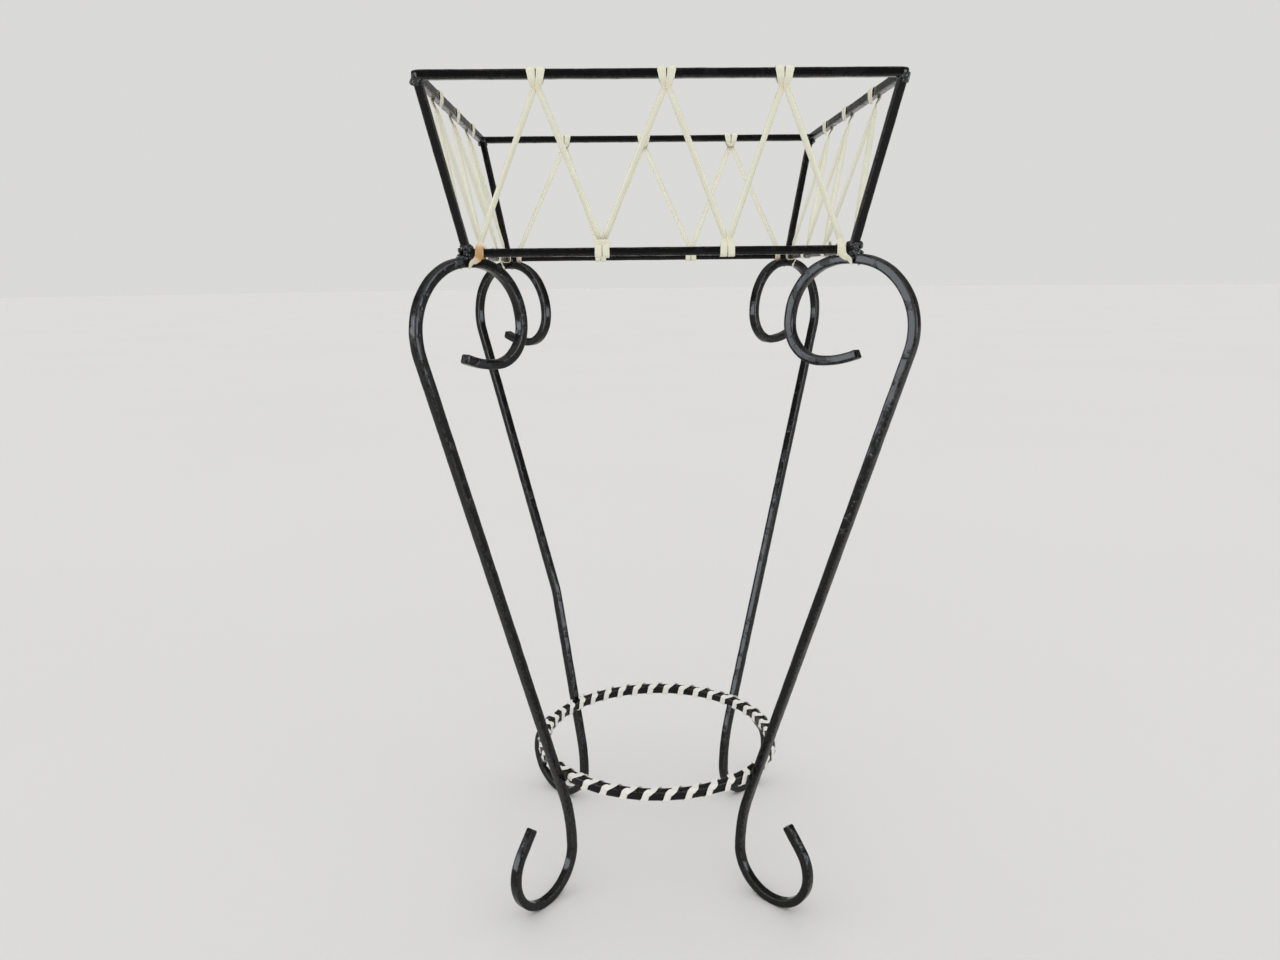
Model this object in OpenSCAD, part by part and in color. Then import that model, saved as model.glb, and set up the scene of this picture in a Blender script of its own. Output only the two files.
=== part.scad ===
// Wrought-iron plant stand: an open, laced basket on four scroll legs that a wrapped ring ties together.
// Millimetres, +Z up. The origin is on the floor, under the middle of the basket.

/* [Basket] */
// Outside width of the square top frame
top_w = 305; // [295:1:315]
// Outside width of the square bottom frame
bottom_w = 261; // [255:1:266]
// Height of the top frame's upper face above the floor
stand_h = 617; // [602:1:632]
// Height of the basket, from the bottom frame's centre line to the top frame's
basket_h = 105; // [95:1:115]
// Side of the square bar that the frames and the struts are made of
bar = 5.5; // [5:0.1:6]
// Radius of a frame corner, at the middle of the bar
corner_r = 4; // [3.5:0.1:6]

/* [Legs] */
// Side of the square bar that the legs are made of
leg_bar = 6.5; // [6:0.1:7]
// Radius of the bulge outside the crown
bulge_r = 44.5; // [42:0.5:48]
// Radius of the arc inside the crown
throat_r = 43; // [38:0.5:44]
// Radius of the hook under the throat
hook_r = 25; // [23:0.5:31]
// Radius of the hook's flatter tail
tail_r = 80; // [70:1:90]
// Turn of the hook's tail, in degrees
tail_turn = 22.5; // [18:0.5:25]
// Radius of the foot
foot_r = 33; // [30:0.5:34]
// Radius of the easy bend between the shank and the foot
ankle_r = 150; // [120:5:170]
// Angle on the foot's circle at which the straight toe begins
toe_angle = 38; // [30:1:45]
// Length of the straight toe
toe_l = 21; // [14:1:24]
// How far the rear left leg is bent inwards at its kink
kink_in = 14; // [8:1:16]
// Height of that kink above the floor
kink_z = 206; // [200:1:240]
// Turn of the front left leg about its crown, in degrees, which brings its bulge in and its foot out
front_left_turn = 7; // [0:0.5:8]

/* [Ring] */
// Side of the square bar that the ring is made of
ring_side = 7; // [6:0.1:7.5]
// Radius of the ring, at the middle of the bar
ring_r = 97.75; // [96.5:0.25:100]
// Height of the ring's centre line above the floor
ring_z = 102.25; // [97:0.25:107]
// Number of turns that the strip makes round the ring, a multiple of four
wrap_turns = 40; // [36:4:40]

/* [Plastic strip] */
// Width of the lacing's strip
strip_w = 4.6; // [4:0.1:5]
// Width of the strip that winds round the ring
wrap_w = 5.6; // [5:0.1:6]
// Thickness of the strip
strip_t = 1.4; // [1.2:0.1:1.6]
// Places of the hitches along a top rail, as fractions of its length
top_hitches = [0.245, 0.51, 0.75];
// Places of the hitches along a bottom rail, as fractions of its length
bottom_hitches = [0.35, 0.67];
// Distance of a corner tie from the end of a bottom rail's centre line
tie_inset = 10; // [9:0.5:14]

/* [Hidden] */
$fn = 96;

iron = [0.06, 0.058, 0.055];
weld_iron = [0.13, 0.13, 0.135];
cream = [0.86, 0.85, 0.76];
white = [0.92, 0.90, 0.87];

// Corners are counted anticlockwise from the front left one: 0 front left, 1 front right, and so on.
FRONT_LEFT = 0;
FRONT_RIGHT = 1;
REAR_RIGHT = 2;
REAR_LEFT = 3;
corners = [FRONT_LEFT, FRONT_RIGHT, REAR_RIGHT, REAR_LEFT];

half = bar / 2;
leg_half = leg_bar / 2;
ring_half = ring_side / 2;
top_z = stand_h - half;
bottom_z = top_z - basket_h;
top_half = (top_w - bar) / 2;
bottom_half = (bottom_w - bar) / 2;

// Distance from the stand's axis to the middle of the bar at a frame's rounded corner
function corner_reach(frame_half) = (frame_half - corner_r) * sqrt(2) + corner_r;
top_reach = corner_reach(top_half);
bottom_reach = corner_reach(bottom_half);

// The leg lies in an upright plane through the axis: x is the distance from the axis, y the height.
foot_wear = 0.15;
crown_flat = 8;
crown_y = bottom_z - half - leg_half;
bulge_x = bottom_reach + 2;
bulge_y = crown_y - bulge_r;
throat_x = bulge_x - crown_flat;
throat_y = crown_y - throat_r;
hook_x = throat_x - throat_r + hook_r;
hook_low = throat_y - hook_r;
foot_y = foot_r + leg_half - foot_wear;

// The lean, from upright, of a line that passes two points at given distances to their outer side:
// offset runs from the upper point to the lower one, and gap is the first distance less the second.
function lean_past(offset, gap) = -acos(gap / norm(offset)) - atan2(offset.y, offset.x);

// Direction of a line that leans outwards by an angle, and the direction square to it
function along(lean) = [sin(lean), cos(lean)];
function outwards(lean) = [cos(lean), -sin(lean)];

// The straight shank runs tangent from the bulge, and its inner face touches the ring's lower edge.
bulge = [bulge_x, bulge_y];
ring_edge = [ring_r + ring_half, ring_z - ring_half];
shank_lean = lean_past(ring_edge - bulge, bulge_r - leg_half);

// The rear left shank runs down to its kink at one lean, and on past the ring at a lesser one.
kink_true_x = bulge_x + (bulge_r + (kink_z - bulge_y) * sin(shank_lean)) / cos(shank_lean);
kink = [kink_true_x - kink_in, kink_z];
high_lean = lean_past(kink - bulge, bulge_r);
low_lean = lean_past(ring_edge - kink, -leg_half);

// Middle of the ankle's bend, which a leaning line passes at the bend's radius
function ankle(through, lean, gap) =
    [through.x + (gap + (foot_y - through.y) * sin(lean)) / cos(lean), foot_y];

// Side of the stand that a corner opens: turns about the axis, in degrees
function corner_turn(corner) = 225 + 90 * corner;

// Cross-section of a bar with its four edges eased
module bar_section(side) {
    ease = 0.1 * side;
    s = side / 2;
    polygon([
        [s, ease - s], [s, s - ease], [s - ease, s], [ease - s, s],
        [-s, s - ease], [-s, ease - s], [ease - s, -s], [s - ease, -s]
    ]);
}

// A quarter bend of bar in the XY plane, about a centre
module corner_bend(centre, from) {
    translate([centre.x, centre.y, 0])
        rotate([0, 0, from])
            rotate_extrude(angle = 90)
                translate([corner_r, 0])
                    bar_section(bar);
}

// A length of bar along X, at a distance from the axis
module rail(inner, frame_half) {
    translate([-inner, -frame_half, 0])
        rotate([0, 90, 0])
            linear_extrude(2 * inner)
                bar_section(bar);
}

// A square frame bent from one bar, with rounded corners
module square_frame(frame_half) {
    inner = frame_half - corner_r;
    for (turn = [0 : 90 : 270])
        rotate([0, 0, turn]) {
            rail(inner, frame_half);
            corner_bend([inner, -inner], -90);
        }
}

// The slab between two heights, used to cut a leaning bar level
module level_slab(low, high) {
    span = 2 * top_w;
    translate([-span / 2, -span / 2, low])
        cube([span, span, high - low]);
}

// A strut leans inwards from under the top frame's corner to the bottom frame's corner.
module strut(corner) {
    rise = top_z - bottom_z;
    side_in = (top_reach - bottom_reach) / sqrt(2);
    overrun = 2;
    start = bottom_reach / sqrt(2);
    length = norm([side_in, side_in, rise]);
    intersection() {
        rotate([0, 0, 90 * corner])
            translate([-start, -start, bottom_z])
                rotate([asin(side_in / length), -atan2(side_in, rise), 0])
                    translate([0, 0, -overrun])
                        linear_extrude(length + 2 * overrun)
                            bar_section(bar);
        level_slab(bottom_z + half, top_z - half);
    }
}

// A leg's centre line is a list of places. Each place holds a point and the direction of travel there.
// bend() gives the places round an arc, and first = 1 leaves out the one that the last arc ended on.
bend_step = 6;
function bend(mid, radius, from, to, first = 0) =
    let (count = ceil(abs(to - from) / bend_step))
    [for (i = [first : count])
        let (a = from + (to - from) * i / count)
        [mid + radius * [cos(a), sin(a)], a + 90 * sign(to - from)]];

// The scroll at the top of a leg: tail, hook, throat, flat crown and bulge, down to the shank
function scroll(lean) = concat(
    bend([hook_x, hook_low + tail_r], tail_r, 270 + tail_turn, 270),
    bend([hook_x, throat_y], hook_r, 270, 180, 1),
    bend([throat_x, throat_y], throat_r, 180, 90, 1),
    bend(bulge, bulge_r, 90, -lean)
);

// The foot at the bottom of a leg: ankle, curl and straight toe
function foot(ankle_mid, lean) =
    let (foot_mid = ankle_mid + [foot_r - ankle_r, 0])
    let (toe_root = foot_mid + foot_r * [cos(toe_angle), sin(toe_angle)])
    concat(
        bend(ankle_mid, ankle_r, 180 - lean, 180),
        bend(foot_mid, foot_r, -180, toe_angle, 1),
        [[toe_root + toe_l * [-sin(toe_angle), cos(toe_angle)], toe_angle + 90]]
    );

// The places of a leg with a straight shank
function plain_leg() =
    concat(scroll(shank_lean), foot(ankle(bulge, shank_lean, bulge_r + ankle_r), shank_lean));

// The places of the leg whose shank is bent inwards at its kink
function kinked_leg() =
    let (kink_r = 60)
    let (cut = kink_r * tan((high_lean - low_lean) / 2))
    let (kink_mid = kink + cut * along(high_lean) + kink_r * outwards(high_lean))
    concat(
        scroll(high_lean),
        bend(kink_mid, kink_r, 180 - high_lean, 180 - low_lean),
        foot(ankle(kink, low_lean, ankle_r), low_lean)
    );

// The outline of a bar that follows a list of places, one side and then back along the other
function outline(places) =
    let (sides = [for (p = places) leg_half * [-sin(p[1]), cos(p[1])]])
    let (last = len(places) - 1)
    concat(
        [for (i = [0 : last]) places[i][0] + sides[i]],
        [for (i = [last : -1 : 0]) places[i][0] - sides[i]]
    );

// A leg flat in the XY plane. Its foot is worn to a small flat on the floor.
module leg_flat(places) {
    linear_extrude(leg_bar, center = true)
        intersection() {
            polygon(outline(places));
            square([top_w, stand_h]);
        }
}

// Puts children where a corner's leg stands: on the corner's diagonal, at a distance from the axis.
// The front left leg is turned a little about its crown.
module with_leg(corner) {
    crown_turn = corner == FRONT_LEFT ? front_left_turn : 0;
    rotate([0, 0, corner_turn(corner)])
        translate([bottom_reach, 0, 0])
            rotate([0, 0, crown_turn])
                translate([-bottom_reach, 0, 0])
                    children();
}

module leg(corner) {
    with_leg(corner)
        rotate([90, 0, 0])
            leg_flat(corner == REAR_LEFT ? kinked_leg() : plain_leg());
}

module ring_bar() {
    translate([0, 0, ring_z])
        rotate_extrude()
            translate([ring_r, 0])
                bar_section(ring_side);
}

// Turn about the axis at which a leg's inner face meets the ring
function joint_turn(corner) =
    corner_turn(corner)
    + (corner % 4 == FRONT_LEFT
        ? front_left_turn - asin(bottom_reach * sin(front_left_turn) / ring_edge.x)
        : 0);

// The wrap is one strip that winds round the ring's square bar, a quarter of its turns between one
// leg and the next. Its path folds over the bar's four edges, and lies a hair off the bar so that
// its flat stretches clear the curved faces.
wrap_steps = 8;
wrap_gap = 0.03;
wrap_start = 0.64;
square_path = [[1, 1], [0, 1], [-1, 1], [-1, 0], [-1, -1], [0, -1], [1, -1], [1, 0]];
wrap_lap = wrap_w / ring_r * 180 / PI;
wrap_sections = wrap_turns * wrap_steps;
ring_joints = [for (quarter = [0 : 5]) [quarter * wrap_turns / 4, joint_turn(quarter)]];

// A point of the wrap: which section, how far off the bar's middle, and which edge of the strip
function wrap_point(section, reach, edge) =
    let (corner = square_path[section % wrap_steps])
    let (turn = lookup(section / wrap_steps + wrap_start, ring_joints) + edge * wrap_lap / 2)
    let (r = ring_r + reach * corner.x)
    [r * cos(turn), r * sin(turn), ring_z + reach * corner.y];

// Leaves out the last section, so that the strip's two ends meet edge to edge and don't merge
module ring_strip() {
    inner = ring_half + wrap_gap;
    outer = inner + strip_t;
    last = wrap_sections - 1;
    rim = [[inner, -1], [inner, 1], [outer, 1], [outer, -1]];
    points = [for (i = [0 : last], p = rim) wrap_point(i, p[0], p[1])];
    sides = [
        for (i = [0 : last - 1], j = [0 : 3])
            let (k = (j + 1) % 4)
            each [
                [4 * i + j, 4 * i + k, 4 * i + 4 + k],
                [4 * i + j, 4 * i + 4 + k, 4 * i + 4 + j]
            ]
    ];
    start_cap = [[3, 2, 1, 0]];
    end_cap = [[4 * last, 4 * last + 1, 4 * last + 2, 4 * last + 3]];
    polyhedron(points = points, faces = concat(sides, start_cap, end_cap));
}

// A flat strip between two points. Its width lies across the basket's side, which leans by side_lean.
module strip(from, to) {
    run = to - from;
    dir = run / norm(run);
    normal = [0, -cos(side_lean), -sin(side_lean)];
    across = cross(normal, dir);
    multmatrix([
        [across.x, normal.x, dir.x, from.x],
        [across.y, normal.y, dir.y, from.y],
        [across.z, normal.z, dir.z, from.z],
        [0, 0, 0, 1]
    ])
        translate([-strip_w / 2, -strip_t / 2, 0])
            cube([strip_w, strip_t, norm(run)]);
}

side_lean = -atan2(top_half - bottom_half, basket_h);

// Two turns of strip side by side round a rail, joined by the strip's bridge across the outside
module hitch(place, bridge_side) {
    wide = 2 * strip_w + 0.6;
    outer = bar + 2 * strip_t;
    translate(place) {
        for (side = [-1, 1])
            translate([side * (strip_w + 0.6) / 2 - strip_w / 2, -outer / 2, -outer / 2])
                cube([strip_w, outer, outer]);
        translate([-wide / 2, -outer / 2, bridge_side > 0 ? outer / 2 - strip_t : -outer / 2])
            cube([wide, strip_t, strip_t]);
        translate([-wide / 2, -strip_t / 2, bridge_side > 0 ? half : -half - strip_t])
            cube([wide, strip_t, strip_t]);
    }
}

// The tie at one end of a side: a turn round the bottom rail and a tail beside the leg's crown
module corner_tie(hand) {
    outer = bar + 2 * strip_t;
    x = hand * (bottom_half - tie_inset);
    tail_out = 3;
    tail_low = 2 * leg_bar;
    translate([x - strip_w / 2, -bottom_half - outer / 2, bottom_z - outer / 2])
        cube([strip_w, outer, outer]);
    strip(
        [x, -bottom_half - half - strip_t / 2, bottom_z],
        [x + hand * tail_out, -bottom_half - half - strip_t / 2 + tail_out / 2, bottom_z - tail_low]
    );
}

// The lacing of the front side zigzags between the rails, from one corner tie to the other.
module lacing() {
    top_points = [for (f = top_hitches) [(2 * f - 1) * top_half, -top_half, top_z]];
    low_points = [for (f = bottom_hitches) [(2 * f - 1) * bottom_half, -bottom_half, bottom_z]];
    tie_x = bottom_half - tie_inset;
    path = [
        [-tie_x, -bottom_half, bottom_z], top_points[0], low_points[0], top_points[1],
        low_points[1], top_points[2], [tie_x, -bottom_half, bottom_z]
    ];
    difference() {
        union() {
            for (i = [1 : len(path) - 1])
                strip(path[i - 1], path[i]);
            for (p = top_points)
                hitch(p, -1);
            for (p = low_points)
                hitch(p, 1);
            for (hand = [-1, 1])
                corner_tie(hand);
        }
        rail_core(top_half, top_z);
        rail_core(bottom_half, bottom_z);
    }
}

// The space that a rail fills inside its hitches
module rail_core(frame_half, z) {
    translate([-frame_half, -frame_half - half, z - half])
        cube([2 * frame_half, bar, bar]);
}

module lacing_on(side) {
    color(cream)
        difference() {
            rotate([0, 0, 90 * side])
                lacing();
            leg(side);
            leg((side + 1) % 4);
        }
}

// A lump of weld metal at a turn about the axis, between two heights
module weld(turn, reach, z, size, low, high) {
    intersection() {
        rotate([0, 0, turn])
            translate([reach, 0, z])
                sphere(size, $fn = 32);
        level_slab(low, high);
    }
}

// The plain block that a leg's crown fills under the bottom frame's corner
module crown_core(corner) {
    with_leg(corner)
        translate([throat_x - throat_r, -leg_half, crown_y - leg_half])
            cube([throat_r + bulge_r, leg_bar, leg_bar]);
}

// The plain block that holds the ring's bar where it passes a leg
module ring_core(corner) {
    rotate([0, 0, joint_turn(corner)])
        translate([ring_edge.x - 2 * ring_side, -2 * ring_side, ring_z - ring_side])
            cube([2 * ring_side, 4 * ring_side, 2 * ring_side]);
}

// The plain bar that a leg's shank fills beside the ring
module shank_core(corner) {
    lean = corner == REAR_LEFT ? low_lean : shank_lean;
    with_leg(corner)
        translate([ring_edge.x, 0, ring_edge.y])
            rotate([0, lean, 0])
                translate([0, -leg_half, -leg_bar])
                    cube([leg_bar, leg_bar, 3 * leg_bar]);
}

module top_frame() {
    color(iron)
        translate([0, 0, top_z])
            square_frame(top_half);
}

module bottom_frame() {
    color(iron)
        translate([0, 0, bottom_z])
            square_frame(bottom_half);
}

module strut_front_left() {
    color(iron) strut(FRONT_LEFT);
}

module strut_front_right() {
    color(iron) strut(FRONT_RIGHT);
}

module strut_rear_right() {
    color(iron) strut(REAR_RIGHT);
}

module strut_rear_left() {
    color(iron) strut(REAR_LEFT);
}

module leg_front_left() {
    color(iron) leg(FRONT_LEFT);
}

module leg_front_right() {
    color(iron) leg(FRONT_RIGHT);
}

module leg_rear_right() {
    color(iron) leg(REAR_RIGHT);
}

module leg_rear_left() {
    color(iron) leg(REAR_LEFT);
}

module ring() {
    color(iron) ring_bar();
}

module ring_wrap() {
    color(white) ring_strip();
}

module lacing_front() {
    lacing_on(0);
}

module lacing_right() {
    lacing_on(1);
}

module lacing_rear() {
    lacing_on(2);
}

module lacing_left() {
    lacing_on(3);
}

module top_corner_welds() {
    weld_r = 4.6;
    color(weld_iron)
        for (corner = corners)
            difference() {
                weld(corner_turn(corner), top_reach, top_z - half, weld_r, 0, top_z - half);
                strut(corner);
            }
}

// Each bottom corner is welded above the frame, to the strut, and below it, to the leg's crown.
module bottom_corner_welds() {
    weld_r = 4.8;
    color(weld_iron)
        for (corner = corners) {
            difference() {
                weld(corner_turn(corner), bottom_reach, bottom_z + half, weld_r, bottom_z + half, stand_h);
                strut(corner);
            }
            difference() {
                weld(corner_turn(corner), bottom_reach, bottom_z - half, weld_r, 0, bottom_z - half);
                crown_core(corner);
            }
        }
}

// Each leg is welded to the ring's outer face, on both of the leg's sides.
module ring_welds() {
    weld_r = 4.6;
    low = ring_z - ring_half;
    high = ring_z + ring_half;
    color(weld_iron)
        for (corner = corners)
            difference() {
                weld(joint_turn(corner), ring_edge.x, ring_z, weld_r, low, high);
                ring_core(corner);
                shank_core(corner);
            }
}

top_frame();
bottom_frame();
strut_front_left();
strut_front_right();
strut_rear_right();
strut_rear_left();
leg_front_left();
leg_front_right();
leg_rear_right();
leg_rear_left();
ring();
ring_wrap();
lacing_front();
lacing_right();
lacing_rear();
lacing_left();
top_corner_welds();
bottom_corner_welds();
ring_welds();
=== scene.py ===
"""Builds the finished looks of a wrought-iron plant stand around its fixed frame.

The stand is an open square basket laced with vinyl strip, on four scroll legs that a wrapped ring
ties together. Lengths are in metres, +Z is up, the front is -Y, and the floor is at z = 0.
"""

from math import acos, asin, atan2, ceil, cos, pi, radians, sin, sqrt, tan

import bmesh
import bpy
from bpy.props import FloatProperty, FloatVectorProperty, IntProperty, PointerProperty
from mathutils import Matrix, Vector, noise


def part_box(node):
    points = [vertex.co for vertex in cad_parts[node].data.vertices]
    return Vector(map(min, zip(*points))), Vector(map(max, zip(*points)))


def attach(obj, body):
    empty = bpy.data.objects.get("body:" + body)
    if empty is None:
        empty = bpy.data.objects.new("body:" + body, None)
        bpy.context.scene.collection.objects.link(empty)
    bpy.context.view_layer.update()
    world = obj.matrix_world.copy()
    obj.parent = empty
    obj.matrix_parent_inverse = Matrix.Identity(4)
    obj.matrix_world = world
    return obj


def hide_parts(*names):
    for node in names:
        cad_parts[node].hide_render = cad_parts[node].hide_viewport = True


bl_info = {
    "name": "Laced Plant Stand",
    "version": (1, 0, 0),
    "blender": (4, 5, 0),
    "location": "View3D > Sidebar > Plant Stand",
    "description": "Forges and laces a scroll-legged plant stand around its frame",
    "category": "Object",
}

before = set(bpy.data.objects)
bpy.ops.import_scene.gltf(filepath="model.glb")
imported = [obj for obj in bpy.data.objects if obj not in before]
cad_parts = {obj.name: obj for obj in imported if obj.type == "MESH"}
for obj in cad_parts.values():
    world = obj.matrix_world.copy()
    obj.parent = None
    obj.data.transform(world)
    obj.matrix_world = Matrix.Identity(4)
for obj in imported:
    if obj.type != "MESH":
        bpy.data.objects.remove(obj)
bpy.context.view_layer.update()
CORNERS = ("front_left", "front_right", "rear_right", "rear_left")
SIDES = ("front", "right", "rear", "left")


# ---------------- places read from the frame

def half_width(node):
    """Half of a node's width along X."""
    low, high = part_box(node)
    return (high.x - low.x) / 2


def mid_height(node):
    """Height of the middle of a node."""
    low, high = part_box(node)
    return (low.z + high.z) / 2


def bar_side(node):
    """Side of the square bar that a level node is bent from."""
    low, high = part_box(node)
    return high.z - low.z


TOP_Z = mid_height("top_frame")
LOW_Z = mid_height("bottom_frame")
RING_Z = mid_height("ring")
BAR = bar_side("top_frame")
HALF = BAR / 2
RING_BAR = bar_side("ring")
RING_HALF = RING_BAR / 2
TOP_HALF = half_width("top_frame") - HALF
LOW_HALF = half_width("bottom_frame") - HALF
RING_R = half_width("ring") - RING_HALF
# Gap that strip keeps off a bar, so that it never sinks into the bar's hammered face
SNUG = 0.0002


# ---------------- sizes and colours a user may change

def length(label, note, default, low, high):
    """A setting that is a length."""
    return FloatProperty(
        name=label, description=note, default=default, min=low, max=high, unit="LENGTH")


def angle(label, note, degrees, low=-180, high=180):
    """A setting that is an angle, written here in degrees."""
    return FloatProperty(name=label, description=note, default=radians(degrees),
                         min=radians(low), max=radians(high), subtype="ANGLE")


def strength(label, note, default, high):
    """A setting that is a light's strength."""
    return FloatProperty(name=label, description=note, default=default, min=0, max=high)


def tint(label, note, default):
    """A setting that is a colour."""
    return FloatVectorProperty(
        name=label, description=note, default=default, size=3, min=0, max=1, subtype="COLOR")


class IronSizes(bpy.types.PropertyGroup):
    """The forged bars"""

    corner_radius: length("Frame corner", "Bend radius of a frame's corner, at the middle of the bar",
                          0.004, 0.0035, 0.006)
    leg_bar: length("Leg bar", "Side of the square bar that the legs are made of",
                    0.0065, 0.006, 0.007)
    bulge_radius: length("Bulge", "Radius of the bulge outside a leg's crown", 0.0445, 0.042, 0.048)
    throat_radius: length("Throat", "Radius of the arc inside a leg's crown", 0.043, 0.038, 0.044)
    hook_radius: length("Hook", "Radius of the hook under the throat", 0.025, 0.023, 0.031)
    tail_radius: length("Tail", "Radius of the hook's flatter tail", 0.08, 0.07, 0.09)
    tail_turn: angle("Tail turn", "Turn of the hook's tail", 22.5, 18, 25)
    crown_flat: length("Crown flat", "Length of the flat stretch on a leg's crown",
                       0.008, 0.006, 0.01)
    foot_radius: length("Foot", "Radius of the curled foot", 0.033, 0.03, 0.034)
    ankle_radius: length("Ankle", "Radius of the easy bend between the shank and the foot",
                         0.15, 0.12, 0.17)
    toe_angle: angle("Toe angle", "Angle on the foot's circle at which the straight toe begins",
                     38, 30, 45)
    toe_length: length("Toe length", "Length of the straight toe", 0.021, 0.014, 0.024)
    kink_in: length("Kink", "How far the rear left leg is bent inwards at its kink",
                    0.014, 0.008, 0.016)
    kink_height: length("Kink height", "Height of that kink above the floor", 0.206, 0.2, 0.24)
    kink_radius: length("Kink radius", "Bend radius of that kink", 0.06, 0.04, 0.08)
    front_left_turn: angle("Front left turn", "Turn of the front left leg about its crown", 7, 0, 8)
    foot_wear: length("Foot wear", "How much of the foot's curl is worn away on the floor",
                      0.00015, 0, 0.0005)
    eased_edge: length("Eased edge", "Radius of a bar's four edges", 0.0007, 0.0003, 0.0015)
    hammering: length("Hammering", "Depth of the uneven faces left by the hammer", 0.0005, 0, 0.001)
    hammer_mark: length("Hammer mark", "Size of one uneven patch", 0.014, 0.005, 0.03)


class StripSizes(bpy.types.PropertyGroup):
    """The vinyl strip"""

    width: length("Strip width", "Width of the lacing's strip", 0.0046, 0.004, 0.005)
    wrap_width: length("Wrap width", "Width of the strip that winds round the ring",
                       0.0052, 0.005, 0.006)
    thickness: length("Strip thickness", "Thickness of the strip where it is pressed flat",
                      0.0009, 0.0007, 0.0014)
    roundness: length("Roundness", "How far each face of a free strand bulges", 0.001, 0, 0.0013)
    wrap_turns: IntProperty(
        name="Wrap turns", description="Turns of the strip round the ring, a multiple of four",
        default=40, min=36, max=40, step=4)
    tie_inset: length("Tie inset", "Distance of a corner tie from the end of a bottom rail",
                      0.01, 0.009, 0.014)
    neck: length("Neck", "Distance from a rail's face to where a hitch's two strands part",
                 0.0052, 0.004, 0.012)


class Finishes(bpy.types.PropertyGroup):
    """The colours of the paint and the strip"""

    enamel: tint("Enamel", "Black enamel on the bars", (0.004, 0.004, 0.0044))
    bare_iron: tint("Bare iron", "Dull iron where the enamel has rubbed off", (0.075, 0.066, 0.058))
    cream: tint("Cream", "Clean vinyl of the lacing", (0.93, 0.92, 0.77))
    # Also mixed faintly into the hitches' necks, where it is painted shade
    yellowed: tint("Yellowed", "Aged vinyl at the corner ties", (0.64, 0.31, 0.06))
    olive: tint("Olive", "Older patches in the vinyl", (0.76, 0.74, 0.5))
    white: tint("White", "Vinyl of the ring's wrap", (0.9, 0.885, 0.84))


class StageSettings(bpy.types.PropertyGroup):
    """Floor, lights and camera"""

    floor_colour: tint("Floor", "Colour of the plain floor", (0.83, 0.825, 0.815))
    air_colour: tint("Air", "Colour of the soft light all round", (0.7, 0.697, 0.682))
    air_strength: strength("Air strength", "Strength of the air's light, beside how pale it looks",
                           0.34, 2)
    panel_colour: tint("Panels", "Colour of the two side panels that the gloss mirrors",
                       (0.84, 0.92, 1.0))
    overcast: strength("Overcast", "Strength of the even light from above", 0.85, 10)
    surround: strength("Surround", "Strength of the soft light from each of the four sides", 0.5, 10)
    front_fill: strength("Front fill", "Strength of the soft light that the front gets besides",
                         0.38, 10)
    lens: FloatProperty(
        name="Lens", description="Focal length on a 36 mm sensor", default=27.43, min=20, max=80)
    camera_place: FloatVectorProperty(
        name="Camera", description="Place of the camera",
        default=(-0.0287, -0.7814, 0.4965), size=3, unit="LENGTH")
    camera_yaw: angle("Yaw", "Turn of the camera towards the right", 1.18)
    camera_pitch: angle("Pitch", "Downward tilt of the camera", 12.07)
    camera_roll: angle("Roll", "Roll of the camera about its axis", -0.61)


# ---------------- nodes from expressions

class Value:
    """A node's output in an expression: arithmetic on it adds Math nodes."""

    def __init__(self, nodes, socket):
        self.nodes = nodes
        self.socket = socket

    def __add__(self, other):
        return self.nodes.math("ADD", self, other)

    def __radd__(self, other):
        return self.nodes.math("ADD", other, self)

    def __sub__(self, other):
        return self.nodes.math("SUBTRACT", self, other)

    def __rsub__(self, other):
        return self.nodes.math("SUBTRACT", other, self)

    def __mul__(self, other):
        return self.nodes.math("MULTIPLY", self, other)

    def __rmul__(self, other):
        return self.nodes.math("MULTIPLY", other, self)

    def __truediv__(self, other):
        return self.nodes.math("DIVIDE", self, other)

    def __rtruediv__(self, other):
        return self.nodes.math("DIVIDE", other, self)


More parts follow.
